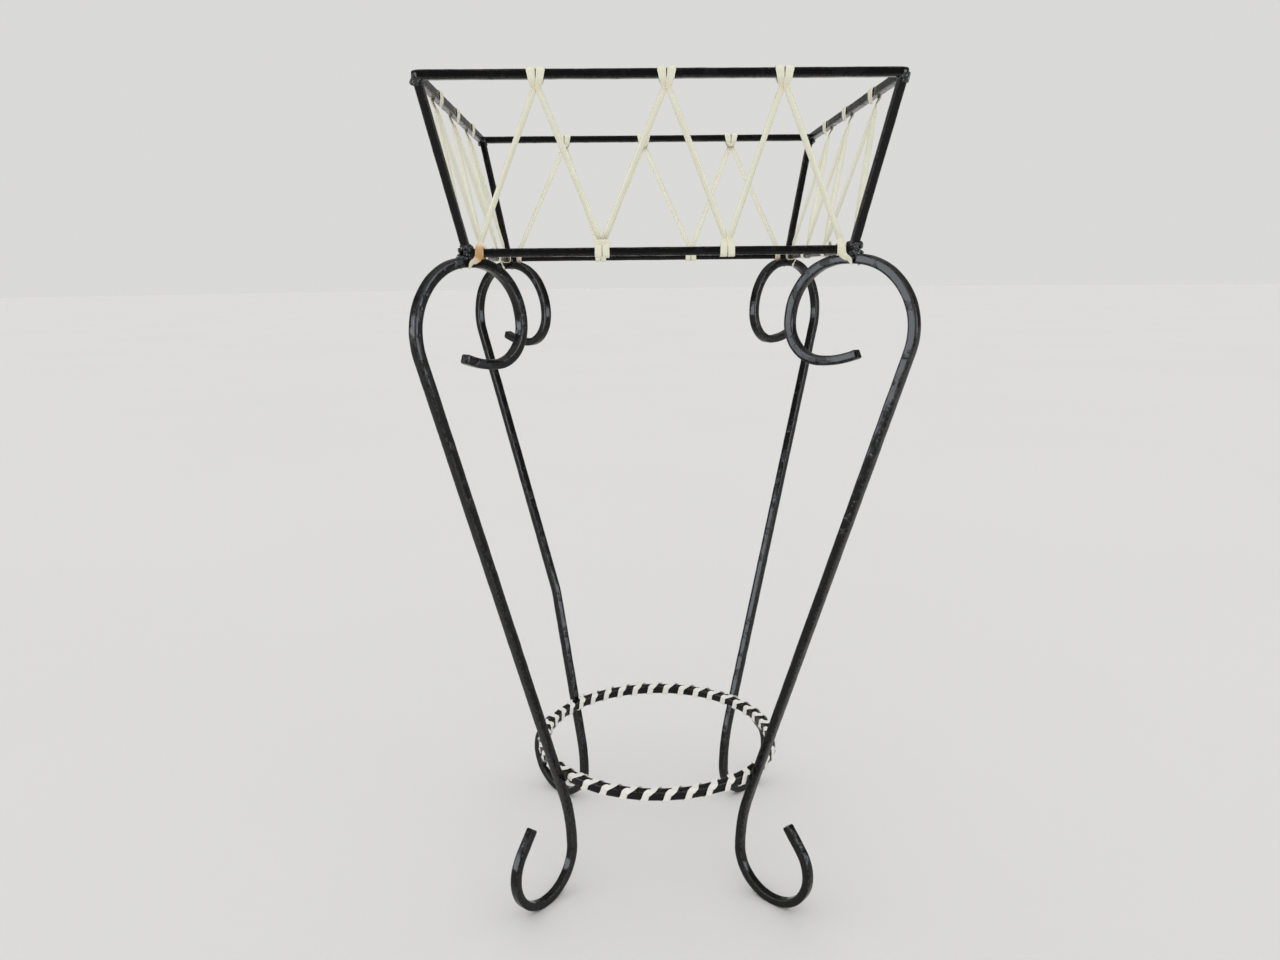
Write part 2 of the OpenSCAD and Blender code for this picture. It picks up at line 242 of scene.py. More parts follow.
class Nodes:
    """A node tree, with one call for each node that is added to it."""

    def __init__(self, tree):
        self.tree = tree

    def add(self, kind, settings=None, sockets=None, out=0):
        """Adds a node: its settings first, then its sockets' values or links. Gives one output."""
        node = self.tree.nodes.new(kind)
        for name, value in (settings or {}).items():
            if name == "stops":
                self._set_stops(node.color_ramp, value)
            else:
                setattr(node, name, value)
        for key, value in (sockets or {}).items():
            if isinstance(value, Value):
                self.tree.links.new(value.socket, node.inputs[key])
            else:
                node.inputs[key].default_value = value
        return Value(self, node.outputs[out]) if node.outputs else None

    @staticmethod
    def _set_stops(ramp, stops):
        while len(ramp.elements) < len(stops):
            ramp.elements.new(1)
        for element, (place, shade) in zip(ramp.elements, stops):
            element.position = place
            element.color = (shade, shade, shade, 1)

    def math(self, operation, *numbers):
        """Arithmetic on one or two numbers."""
        return self.add("ShaderNodeMath", {"operation": operation}, dict(enumerate(numbers)))

    def vector(self, operation, *vectors, out=0):
        """Arithmetic on vectors. Where its result is a number, out is 1."""
        return self.add(
            "ShaderNodeVectorMath", {"operation": operation}, dict(enumerate(vectors)), out)

    def scaled(self, vector, factor):
        """A vector times a number."""
        return self.add(
            "ShaderNodeVectorMath", {"operation": "SCALE"}, {0: vector, "Scale": factor})

    def clamped(self, value):
        """A number kept from 0 to 1."""
        return self.add("ShaderNodeClamp", {}, {"Value": value})

    def noise(self, where, size, detail=2, roughness=0.5):
        """Noise from 0 to 1 whose patches are about that size in metres."""
        return self.add("ShaderNodeTexNoise", {}, {
            "Vector": where, "Scale": 1 / size, "Detail": detail, "Roughness": roughness})

    def ramp(self, value, *stops):
        """A value remapped through (place, shade) stops."""
        return self.add("ShaderNodeValToRGB", {"stops": stops}, {"Fac": value})

    def blend(self, factor, first, second):
        """One colour mixed into another."""
        return self.add("ShaderNodeMix", {"data_type": "RGBA"}, {0: factor, 6: first, 7: second}, 2)

    def painted(self, name):
        """A mesh's own values, for a material."""
        return self.add("ShaderNodeAttribute", {"attribute_name": name}, out=2)

    def stored(self, name, data_type="FLOAT"):
        """Values kept under a name, for a geometry tree."""
        return self.add("GeometryNodeInputNamedAttribute", {"data_type": data_type}, {"Name": name})

    def store(self, shape, name, value, data_type="FLOAT"):
        """The shape with values kept under a name."""
        return self.add("GeometryNodeStoreNamedAttribute", {"data_type": data_type}, {
            "Geometry": shape, "Name": name, "Value": value})

    def move(self, mesh, offset):
        """The mesh with each point moved."""
        return self.add("GeometryNodeSetPosition", {}, {"Geometry": mesh, "Offset": offset})

    def roughen(self, mesh, where, patch, depth):
        """The mesh with its points moved in and out by noise."""
        normal = self.add("GeometryNodeInputNormal")
        return self.move(mesh, self.scaled(normal, (self.noise(where, patch) - 0.5) * depth))


def colour(rgb):
    """An RGBA colour for a socket."""
    return (*rgb, 1)


# ---------------- materials

# Bare metal on a weld's high spots, and dirt on the strip
WELD_GREY = (0.11, 0.105, 0.115, 1)
SOIL = (0.3, 0.25, 0.14, 1)


def new_material(name):
    """An empty material as (material, its nodes, each point's place on the object)."""
    material = bpy.data.materials.new(name)
    material.use_nodes = True
    material.node_tree.nodes.clear()
    nodes = Nodes(material.node_tree)
    return material, nodes, nodes.add("ShaderNodeTexCoord", out=3)


def finish_material(nodes, surface, height, depth):
    """Joins a principled surface to the output, with a height field as its bump."""
    normal = nodes.add("ShaderNodeBump", {}, {"Height": height, "Strength": 1, "Distance": depth})
    shader = nodes.add("ShaderNodeBsdfPrincipled", {}, {**surface, "Normal": normal})
    nodes.add("ShaderNodeOutputMaterial", {}, {"Surface": shader})


def black_enamel(finishes):
    """Brushed gloss enamel over hammered iron, rubbed dull along the bar's edges."""
    material, nodes, where = new_material("black_enamel")
    edge = nodes.painted("edge")
    runs = nodes.ramp(nodes.noise(where, 0.01, 2, 0.55), (0.56, 0), (0.65, 1))
    pitting = nodes.noise(where, 0.0025, 3, 0.6)
    clouds = nodes.noise(where, 0.03, 2)
    rubbed = nodes.ramp(edge * 0.4 + pitting * 0.75 + clouds * 0.4, (0.88, 0), (1.02, 1))
    finish_material(nodes, {
        "Base Color": nodes.blend(
            rubbed * 0.4, colour(finishes.enamel), colour(finishes.bare_iron)),
        "Roughness": 0.13 + 0.22 * runs + 0.02 * pitting + 0.25 * rubbed,
        "Specular IOR Level": 0.22,
    }, 0.8 * runs + 0.05 * pitting, 0.00016)
    return material


def enamelled_weld(finishes):
    """Lumpy weld metal under thin enamel, with bare grey high spots."""
    material, nodes, where = new_material("enamelled_weld")
    lumps = nodes.noise(where, 0.0028, 3, 0.6)
    grit = nodes.noise(where, 0.0008, 3)
    bare = nodes.ramp(lumps * 0.7 + grit * 0.4, (0.55, 0), (0.75, 1))
    finish_material(nodes, {
        "Base Color": nodes.blend(bare * 0.7, colour(finishes.enamel), WELD_GREY),
        "Roughness": 0.26 + 0.2 * grit,
        "Metallic": 0.4 * bare,
        "Coat Weight": 0.5,
        "Coat Roughness": 0.15,
    }, lumps + 0.3 * grit, 0.0008)
    return material


def vinyl(name, clean, finishes, ageing):
    """Half-gloss vinyl strip: faint lengthwise drawing lines, and yellower and more soiled where it
    is old at the ties; the same yellowing is painted shade at the hitches' necks.
    """
    material, nodes, where = new_material(name)
    age = nodes.painted("age")
    clouds = nodes.noise(where, 0.012, 3)
    grime = nodes.noise(where, 0.004, 3)
    lines = nodes.add("ShaderNodeTexNoise", {"noise_dimensions": "1D"}, {
        "W": nodes.painted("across"), "Scale": 24})
    fresh = nodes.blend(clouds * ageing, colour(clean), colour(finishes.olive))
    # The yellowing value is real ageing at the ties and painted shade at the hitches' necks: it
    # yellows and darkens the strip there
    aged_and_shaded = nodes.blend(age, fresh, colour(finishes.yellowed))
    # Soil follows random grime and that same value, so at the necks it adds to the painted shade
    soil_and_shade = nodes.ramp(grime * 0.6 + age * 0.4, (0.45, 0), (0.8, 1))
    finish_material(nodes, {
        "Base Color": nodes.blend(soil_and_shade * 0.35, aged_and_shaded, SOIL),
        "Roughness": 0.3 + 0.15 * grime,
        "Specular IOR Level": 0.45,
    }, lines + 0.5 * grime, 0.00004)
    return material


def floor_paint(stage):
    """Plain pale floor paint with a faint, soft unevenness."""
    material, nodes, where = new_material("floor_paint")
    clouds = nodes.noise(where, 0.9, 3)
    shaded = colour([0.96 * c for c in stage.floor_colour])
    finish_material(nodes, {
        "Base Color": nodes.blend(clouds, colour(stage.floor_colour), shaded),
        "Roughness": 0.5 + 0.15 * clouds,
        "Specular IOR Level": 0.0,
    }, nodes.noise(where, 0.004, 3), 0.0001)
    return material


# ---------------- geometry node trees

SWEEP_SIZES = ("Thickness", "Width", "Edge Radius", "Step", "Unevenness", "Patch Size")
SWEEP_COUNTS = ("Edge Steps", "Face Cuts", "Seed")
BEAD_SIZES = ("Voxel", "Lumpiness", "Lump Size")
# How much a seed shifts the noise along each axis
SEED_SHIFT = {"X": 0.731, "Y": 0.417, "Z": 0.239}


def new_tree(name, start, sizes, counts=()):
    """A geometry tree as (its nodes, its inputs by name)."""
    tree = bpy.data.node_groups.new(name, "GeometryNodeTree")
    inputs = [(start, "Geometry"), *((size, "Float") for size in sizes),
              *((count, "Int") for count in counts), ("Material", "Material")]
    for label, kind in inputs:
        tree.interface.new_socket(label, in_out="INPUT", socket_type="NodeSocket" + kind)
    tree.interface.new_socket("Mesh", in_out="OUTPUT", socket_type="NodeSocketGeometry")
    nodes = Nodes(tree)
    group = tree.nodes.new("NodeGroupInput")
    return nodes, {socket.name: Value(nodes, socket) for socket in group.outputs if socket.name}


def finish_tree(nodes, mesh, material):
    """Ends a tree with a smooth, real mesh in its material, and gives the tree."""
    mesh = nodes.add("GeometryNodeSetShadeSmooth", {}, {"Geometry": mesh})
    mesh = nodes.add("GeometryNodeRealizeInstances", {}, {"Geometry": mesh})
    mesh = nodes.add("GeometryNodeSetMaterial", {}, {"Geometry": mesh, "Material": material})
    nodes.tree.links.new(mesh.socket, nodes.tree.nodes.new("NodeGroupOutput").inputs[0])
    return nodes.tree


def section_curve(nodes, given):
    """The section that is swept, with "edge" and "across" kept on it."""
    section = nodes.add("GeometryNodeCurvePrimitiveQuadrilateral", {}, {
        "Width": given["Thickness"], "Height": given["Width"]})
    section = nodes.add("GeometryNodeFilletCurve", {"mode": "POLY"}, {
        "Curve": section, "Count": given["Edge Steps"], "Radius": given["Edge Radius"],
        "Limit Radius": True})
    section = nodes.add("GeometryNodeSubdivideCurve", {}, {
        "Curve": section, "Cuts": given["Face Cuts"]})
    reach = nodes.vector("LENGTH", nodes.add("GeometryNodeInputPosition"), out=1)
    inset = reach / (given["Thickness"] * 0.5) - 1.1
    section = nodes.store(section, "edge", nodes.clamped(inset * 6))
    return nodes.store(section, "across", nodes.add("GeometryNodeSplineParameter"))


def bulge_offset(nodes, place, half_wide):
    """How far each point of a swept strip moves, to round its wide faces by "bulge"."""
    facing = nodes.stored("facing", "FLOAT_VECTOR")
    reach = nodes.vector("SUBTRACT", place, nodes.stored("middle", "FLOAT_VECTOR"))
    proud = nodes.vector("DOT_PRODUCT", reach, facing, out=1)
    aside = nodes.vector("DISTANCE", reach, nodes.scaled(facing, proud), out=1) / half_wide
    oval = nodes.math("SQRT", nodes.clamped(1 - aside * aside))
    return nodes.scaled(facing, nodes.math("SIGN", proud) * oval * nodes.stored("bulge"))


def sweep_tree():
    """The tree that sweeps a rounded section along a path and roughens it.

    The path's points hold the direction of the section's thickness as "face_way", its scale as
    "swell", how far its wide faces bulge as "bulge", and its yellowing, which at the hitches' necks
    is painted shade, as "age". The mesh keeps "edge", which is 1 on the section's edges, and
    "across", the place round the section.
    """
    nodes, given = new_tree("swept_section", "Path", SWEEP_SIZES, SWEEP_COUNTS)
    place = nodes.add("GeometryNodeInputPosition")
    curve = nodes.add("GeometryNodeMeshToCurve", {}, {"Mesh": given["Path"]})
    curve = nodes.add("GeometryNodeResampleCurve", {"mode": "LENGTH"}, {
        "Curve": curve, "Length": given["Step"]})
    curve = nodes.add("GeometryNodeSetCurveNormal", {"mode": "FREE"}, {
        "Curve": curve, "Normal": nodes.stored("face_way", "FLOAT_VECTOR")})
    curve = nodes.store(curve, "middle", place, "FLOAT_VECTOR")
    curve = nodes.store(curve, "facing", nodes.add("GeometryNodeInputNormal"), "FLOAT_VECTOR")
    swell = nodes.stored("swell")
    mesh = nodes.add("GeometryNodeCurveToMesh", {}, {
        "Curve": curve, "Profile Curve": section_curve(nodes, given), "Scale": swell,
        "Fill Caps": True})
    mesh = nodes.move(mesh, bulge_offset(nodes, place, given["Width"] * swell * 0.5))
    for name in ("middle", "facing"):
        mesh = nodes.add("GeometryNodeRemoveAttribute", {}, {"Geometry": mesh, "Name": name})
    seed = nodes.add("ShaderNodeCombineXYZ", {}, {
        axis: given["Seed"] * shift for axis, shift in SEED_SHIFT.items()})
    mesh = nodes.roughen(
        mesh, nodes.vector("ADD", place, seed), given["Patch Size"], given["Unevenness"])
    height = nodes.add("ShaderNodeSeparateXYZ", {}, {0: place}, 2)
    lift = nodes.add("ShaderNodeCombineXYZ", {}, {"Z": nodes.math("MAXIMUM", 0 - height, 0.0)})
    return finish_tree(nodes, nodes.move(mesh, lift), given["Material"])


def bead_tree():
    """The tree that melts a cloud of points, each with its own "lump" radius, into weld beads."""
    nodes, given = new_tree("melted_beads", "Points", BEAD_SIZES)
    points = nodes.add("GeometryNodeMeshToPoints", {}, {
        "Mesh": given["Points"], "Radius": nodes.stored("lump")})
    melt = nodes.add("GeometryNodePointsToVolume", {"resolution_mode": "VOXEL_SIZE"}, {
        "Points": points, "Voxel Size": given["Voxel"],
        "Radius": nodes.add("GeometryNodeInputRadius")})
    mesh = nodes.add("GeometryNodeVolumeToMesh", {}, {"Volume": melt, "Threshold": 0.2})
    place = nodes.add("GeometryNodeInputPosition")
    mesh = nodes.roughen(mesh, place, given["Lump Size"], given["Lumpiness"])
    return finish_tree(nodes, mesh, given["Material"])


def shared(known, name, build, *args):
    """A tree or a material by name, built the first time that it is asked for."""
    return known.get(name) or build(*args)


def grown(name, mesh, tree, values):
    """Runs a geometry node tree on a mesh and gives its result as a plain mesh object."""
    piece = bpy.data.objects.new(name, mesh)
    bpy.context.scene.collection.objects.link(piece)
    modifier = piece.modifiers.new("grow", "NODES")
    modifier.node_group = tree
    for item in tree.interface.items_tree:
        if item.name in values:
            modifier[item.identifier] = values[item.name]
    depsgraph = bpy.context.evaluated_depsgraph_get()
    result = bpy.data.meshes.new_from_object(piece.evaluated_get(depsgraph))
    piece.modifiers.remove(modifier)
    piece.data = result
    result.name = name
    bpy.data.meshes.remove(mesh)
    if not result.polygons:
        raise RuntimeError(f"{name} came out empty")
    return piece


def keep(piece, slot, *nodes):
    """Hands a finished piece to the frame in place of the nodes that it stands for."""
    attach(piece, "root")
    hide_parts(*nodes)


# ---------------- paths

# Points closer than this are one point
SAME_PLACE = 1e-6
# How much of its size a bar keeps at a sawn end
SAWN_END = 0.84
# Lengths of a swept piece's facets, and how deep and how large the strip's uneven patches are
BAR_STEP = 0.0012
STRIP_STEP = 0.001
STRIP_UNEVENNESS = 0.0001
STRIP_PATCH = 0.005


class Spot:
    """One point of a path, with the way its face looks, its scale, its yellowing with any painted
    shade, and its bulge.
    """

    def __init__(self, point, way, swell, age):
        self.point = point
        self.way = way
        self.swell = swell
        self.age = age
        self.bulge = 0.0


class Path:
    """The spots that a section is swept along."""

    def __init__(self, closed=False):
        self.closed = closed
        self.spots = []

    def add(self, point, way, swell=1.0, age=0.0):
        """Adds one spot, unless the path already ends there."""
        point = Vector(point)
        if not self.spots or (self.spots[-1].point - point).length >= SAME_PLACE:
            self.spots.append(Spot(point, Vector(way).normalized(), swell, age))

    def moved(self, matrix):
        """The same path after a rigid move."""
        turned = matrix.to_3x3()
        for spot in self.spots:
            spot.point = matrix @ spot.point
            spot.way = turned @ spot.way
        return self

    def squared(self):
        """Turns every face's way square to the path, and never over from one spot to the next."""
        last = len(self.spots) - 1
        for i, spot in enumerate(self.spots):
            before = self.spots[i - 1 if i or self.closed else 0]
            after = self.spots[(i + 1) % (last + 1) if i < last or self.closed else last]
            along = (after.point - before.point).normalized()
            way = (spot.way - along * spot.way.dot(along)).normalized()
            spot.way = -way if i and way.dot(before.way) < 0 else way
        return self

    def eased(self, ease):
        """Narrows an open path's two ends over a short length, as a file leaves a sawn end."""
        if self.closed:
            return self
        for end, inner in ((0, 1), (-1, -2)):
            tip = self.spots[end]
            along = self.spots[inner].point - tip.point
            shoulder = tip.point + along.normalized() * min(ease, 0.5 * along.length)
            place = 1 if end == 0 else len(self.spots) - 1
            self.spots.insert(place, Spot(shoulder, tip.way, 1.0, tip.age))
            tip.swell = SAWN_END
        return self


def path_mesh(name, paths):
    """One mesh of bare edges from several paths, with their values as attributes."""
    mesh = bpy.data.meshes.new(name)
    spots, edges = [], []
    for path in paths:
        first = len(spots)
        spots += path.spots
        edges += [(i, i + 1) for i in range(first, len(spots) - 1)]
        if path.closed:
            edges.append((len(spots) - 1, first))
    mesh.from_pydata([spot.point for spot in spots], edges, [])
    ways = mesh.attributes.new("face_way", "FLOAT_VECTOR", "POINT")
    ways.data.foreach_set("vector", [c for spot in spots for c in spot.way])
    for key in ("swell", "age", "bulge"):
        values = mesh.attributes.new(key, "FLOAT", "POINT")
        values.data.foreach_set("value", [getattr(spot, key) for spot in spots])
    return mesh


def swept(name, paths, values):
    """Sweeps a section along paths, as one piece."""
    tree = shared(bpy.data.node_groups, "swept_section", sweep_tree)
    return grown(name, path_mesh(name + "_path", paths), tree, values)


def forge(name, node, path, side, seed):
    """Forges a node's piece by sweeping square bar along a path."""
    iron, _, finishes, _ = settings()
    piece = swept(name, [path.squared().eased(iron.eased_edge)], {
        "Thickness": side, "Width": side, "Edge Radius": iron.eased_edge, "Step": BAR_STEP,
        "Unevenness": iron.hammering, "Patch Size": iron.hammer_mark,
        "Edge Steps": 2, "Face Cuts": 2, "Seed": seed,
        "Material": shared(bpy.data.materials, "black_enamel", black_enamel, finishes)})
    keep(piece, "black_iron", node)


def lay_strip(name, paths, width, thickness, material, seed):
    """Sweeps flat vinyl strip along paths."""
    return swept(name, [path.squared() for path in paths], {
        "Thickness": thickness, "Width": width, "Edge Radius": 0.42 * thickness,
        "Step": STRIP_STEP, "Unevenness": STRIP_UNEVENNESS, "Patch Size": STRIP_PATCH,
        "Edge Steps": 1, "Face Cuts": 3, "Seed": seed, "Material": material})


# ---------------- the iron

# Straight steps that make up a frame's bend, a strut and the ring
CORNER_STEPS = 8
STRUT_STEPS = 4
RING_STEPS = 180
# Distance of a strut's end from the middle of the frame's bar, in half bars
STRUT_END = 0.6


def square_path(frame_half, z, corner_radius):
    """A closed square with rounded corners, whose face looks up."""
    path = Path(closed=True)
    inner = frame_half - corner_radius
    for corner in range(4):
        turn = Matrix.Rotation(radians(90 * corner), 3, "Z")
        for i in range(CORNER_STEPS + 1):
            a = radians(-90 + 90 * i / CORNER_STEPS)
            place = Vector((inner + corner_radius * cos(a), -inner + corner_radius * sin(a), 0))
            path.add(turn @ place + Vector((0, 0, z)), (0, 0, 1))
    return path


def corner_reach(frame_half, corner_radius):
    """Distance from the axis to the middle of the bar at a frame's rounded corner."""
    return (frame_half - corner_radius) * sqrt(2) + corner_radius


def strut_path(corner, iron):
    """A strut's path from the bottom frame's corner to the top frame's, a little into both."""
    low = corner_reach(LOW_HALF, iron.corner_radius) / sqrt(2)
    high = corner_reach(TOP_HALF, iron.corner_radius) / sqrt(2)
    turn = Matrix.Rotation(radians(90 * corner), 3, "Z")
    path = Path()
    start = Vector((-low, -low, LOW_Z + STRUT_END * HALF))
    end = Vector((-high, -high, TOP_Z - STRUT_END * HALF))
    for i in range(STRUT_STEPS + 1):
        path.add(turn @ start.lerp(end, i / STRUT_STEPS), turn @ Vector((0, -1, 0)))
    return path


# The corners whose legs are bent out of true: turned about its crown, and kinked
TURNED = CORNERS.index("front_left")
KINKED = CORNERS.index("rear_left")
# How far outside the basket's corner a leg's bulge begins
CROWN_OUT = 0.002
# Turn from one point to the next round a leg's bends
BEND_STEP = radians(3)


class LegShape:
    """A leg's centre line in its own upright plane: x is the distance from the axis, y the height.

    Angles are in radians. A lean is the angle of a line from upright, outwards towards its top.
    """

    def __init__(self, iron):
        self.iron = iron
        self.half = iron.leg_bar / 2
        self.crown_reach = corner_reach(LOW_HALF, iron.corner_radius)
        crown_y = LOW_Z - HALF - self.half
        bulge_x = self.crown_reach + CROWN_OUT
        self.bulge = Vector((bulge_x, crown_y - iron.bulge_radius))
        self.throat = Vector((bulge_x - iron.crown_flat, crown_y - iron.throat_radius))
        self.hook_x = self.throat.x - iron.throat_radius + iron.hook_radius
        self.hook_low = self.throat.y - iron.hook_radius
        self.foot_y = iron.foot_radius + self.half - iron.foot_wear
        self.ring_edge = Vector((RING_R + RING_HALF, RING_Z - RING_HALF))
        self.lean = self.lean_past(self.ring_edge - self.bulge, iron.bulge_radius - self.half)
        rise = iron.kink_height - self.bulge.y
        true_x = bulge_x + (iron.bulge_radius + rise * sin(self.lean)) / cos(self.lean)
        self.kink = Vector((true_x - iron.kink_in, iron.kink_height))
        self.high_lean = self.lean_past(self.kink - self.bulge, iron.bulge_radius)
        self.low_lean = self.lean_past(self.ring_edge - self.kink, -self.half)

    @staticmethod
    def lean_past(offset, gap):
        """Lean of a line past two points, gap being the first one's distance less the second's."""
        return -acos(gap / offset.length) - atan2(offset.y, offset.x)

    @staticmethod
    def bend(mid, radius, start, end):
        """Points round an arc."""
        count = max(2, ceil(abs(end - start) / BEND_STEP))
        turns = [start + (end - start) * i / count for i in range(count + 1)]
        return [Vector(mid) + radius * Vector((cos(a), sin(a))) for a in turns]

    def ankle(self, through, lean, gap):
        """Middle of the ankle's bend, which a leaning line passes at the bend's radius."""
        rise = self.foot_y - through.y
        return Vector((through.x + (gap + rise * sin(lean)) / cos(lean), self.foot_y))

    def scroll(self, lean):
        """Tail, hook, throat, flat crown and bulge, down to the shank."""
        iron = self.iron
        tail_mid = (self.hook_x, self.hook_low + iron.tail_radius)
        hook_mid = (self.hook_x, self.throat.y)
        quarter = pi / 2
        return (
            self.bend(tail_mid, iron.tail_radius, 3 * quarter + iron.tail_turn, 3 * quarter)
            + self.bend(hook_mid, iron.hook_radius, 3 * quarter, pi)[1:]
            + self.bend(self.throat, iron.throat_radius, pi, quarter)[1:]
            + self.bend(self.bulge, iron.bulge_radius, quarter, -lean)
        )

    def foot(self, ankle_mid, lean):
        """Ankle, curl and straight toe."""
        iron = self.iron
        mid = ankle_mid + Vector((iron.foot_radius - iron.ankle_radius, 0))
        a = iron.toe_angle
        root = mid + iron.foot_radius * Vector((cos(a), sin(a)))
        toe = root + iron.toe_length * Vector((-sin(a), cos(a)))
        return (
            self.bend(ankle_mid, iron.ankle_radius, pi - lean, pi)
            + self.bend(mid, iron.foot_radius, -pi, a)[1:]
            + [toe]
        )

    def plain(self):
        """The places of a leg with a straight shank."""
        gap = self.iron.bulge_radius + self.iron.ankle_radius
        return self.scroll(self.lean) + self.foot(self.ankle(self.bulge, self.lean, gap), self.lean)

    def kinked(self):
        """The places of the leg whose shank is bent inwards at its kink."""
        high, low, radius = self.high_lean, self.low_lean, self.iron.kink_radius
        cut = radius * tan((high - low) / 2)
        along = Vector((sin(high), cos(high)))
        outwards = Vector((cos(high), -sin(high)))
        mid = self.kink + cut * along + radius * outwards
        return (
            self.scroll(high)
            + self.bend(mid, radius, pi - high, pi - low)
            + self.foot(self.ankle(self.kink, low, self.iron.ankle_radius), low)
        )

    def stand(self, corner):
        """The move from a leg's own plane, as XZ, to where a corner's leg stands."""
        turn = self.iron.front_left_turn if corner == TURNED else 0
        reach = Matrix.Translation((self.crown_reach, 0, 0))
        return (Matrix.Rotation(radians(225 + 90 * corner), 4, "Z") @ reach
                @ Matrix.Rotation(turn, 4, "Z") @ reach.inverted())

    def ring_turn(self, corner):
        """Turn about the axis, in radians, at which a corner's leg meets the ring."""
        plain_turn = radians(225 + 90 * corner)
        if corner % 4 != TURNED:
            return plain_turn
        turn = self.iron.front_left_turn
        return plain_turn + turn - asin(self.crown_reach * sin(turn) / self.ring_edge.x)

    def path(self, corner):
        """The leg's path, whose face looks to the leg's side."""
        path = Path()
        for point in self.kinked() if corner == KINKED else self.plain():
            path.add((point.x, 0, point.y), (0, 1, 0))
        return path.moved(self.stand(corner))


def ring_path():
    """The ring's circle, whose face looks up."""
    path = Path(closed=True)
    for i in range(RING_STEPS):
        a = 2 * pi * i / RING_STEPS
        path.add((RING_R * cos(a), RING_R * sin(a), RING_Z), (0, 0, 1))
    return path


# ---------------- the strip

# Bend radius of a bar's edge, as the strip over it feels it
EDGE = 0.0009
# Where the wrap starts, in its own turns past a leg
WRAP_START = 0.605
# How much faster the wrap runs along the ring over the top than on average, and where it is fastest
WRAP_LEAD = 0.6
WRAP_FASTEST = 0.2
# Spacing of points along a smooth run, with the fewest and the most for one stretch
RUN_STEP = 0.001
RUN_FEWEST, RUN_MOST = 3, 40
# A free strand's width beside the strip's, and the parts of its length where it starts and stops
STRAND_WIDTH = 0.86
STRAND_START, STRAND_STOP = 0.06, 0.94
# How soon after a hitch a strand is fully round, as one over its part of the strand
ROUND_SOON = 8


def quarter_turn(half, lift):
    """Places over one edge of a bar, as (place, way) in the bar's section."""
    mid = Vector((half - EDGE, half - EDGE))
    ways = [Vector((cos(radians(a)), sin(radians(a)))) for a in (0, 22.5, 45, 67.5, 90)]
    return [(mid + (EDGE + lift) * way, way) for way in ways]


def around_bar(half, lift):
    """Places once round a bar, from its outer face's middle over the top, as (place, way)."""
    reach = half + lift
    places = []
    for quarter in range(4):
        turn = Matrix.Rotation(radians(90 * quarter), 2)
        face = [(Vector((reach, 0)), Vector((1, 0)))]
        places += [(turn @ place, turn @ way) for place, way in face + quarter_turn(half, lift)]
    return places


def wrap_path(shape, strip):
    """The strip's winding round the ring: a quarter of its turns between one leg and the next."""
    path = Path()
    loop = around_bar(RING_HALF, strip.thickness / 2 + SNUG)
    up = Vector((0, 0, 1))
    for i in range(strip.wrap_turns * len(loop)):
        place, way = loop[i % len(loop)]
        turned = i / len(loop)
        lead = WRAP_LEAD * sin(2 * pi * (turned - WRAP_FASTEST)) / (2 * pi)
        quarters = (turned + lead + WRAP_START) * 4 / strip.wrap_turns
        whole = int(quarters)
        first, second = shape.ring_turn(whole), shape.ring_turn(whole + 1)
        a = first + (second - first) * (quarters - whole)
        out = Vector((cos(a), sin(a), 0))
        path.add(out * (RING_R + place.x) + up * (RING_Z + place.y), out * way.x + up * way.y)
    return path


def smooth_run(path, stations, roll=0.0):
    """Adds a smooth curve through stations of (point, way, swell, yellowing with painted shade).

    A roll turns the strip about itself, most at the middle of the run.
    """
    last = len(stations) - 1
    for k in range(last):
        (start, way1, swell1, start_age_and_shade), (end, way2, swell2, end_age_and_shade) = stations[k], stations[k + 1]
        before = stations[k - 1][0] if k else start
        after = stations[k + 2][0] if k + 1 < last else end
        chord = end - start
        leaving = (end - before).normalized() * chord.length
        arriving = (after - start).normalized() * chord.length
        way2 = way2 if way1.dot(way2) >= 0 else -way2
        steps = max(RUN_FEWEST, min(RUN_MOST, ceil(chord.length / RUN_STEP)))
        for i in range(steps + 1):
            t = i / steps
            ease = t * t * (3 - 2 * t)
            point = (start * (1 - ease) + end * ease
                     + leaving * t * (1 - t) ** 2 - arriving * t * t * (1 - t))
            way = way1.lerp(way2, ease)
            if roll:
                way = Matrix.Rotation(roll * sin(pi * t), 3, chord.normalized()) @ way
            path.add(point, way, swell1 + (swell2 - swell1) * ease, start_age_and_shade + (end_age_and_shade - start_age_and_shade) * ease)


def stretch(path, leave, arrive, roll, roundness):
    """Adds a strand pulled straight between two hitches: free of the ends' yellowing and painted neck
    shade, rolled and rounder in between.
    """
    first = len(path.spots)
    eased = [(leave[0].lerp(arrive[0], t), way, STRAND_WIDTH, 0.0)
             for t, way in ((STRAND_START, leave[1]), (STRAND_STOP, arrive[1]))]
    smooth_run(path, [leave, eased[0]])
    smooth_run(path, eased, roll)
    smooth_run(path, [eased[1], arrive])
    last = len(path.spots) - 1
    for i in range(first, last + 1):
        nearer = min(i - first, last - i) / (last - first)
        path.spots[i].bulge = roundness * min(1, ROUND_SOON * nearer)


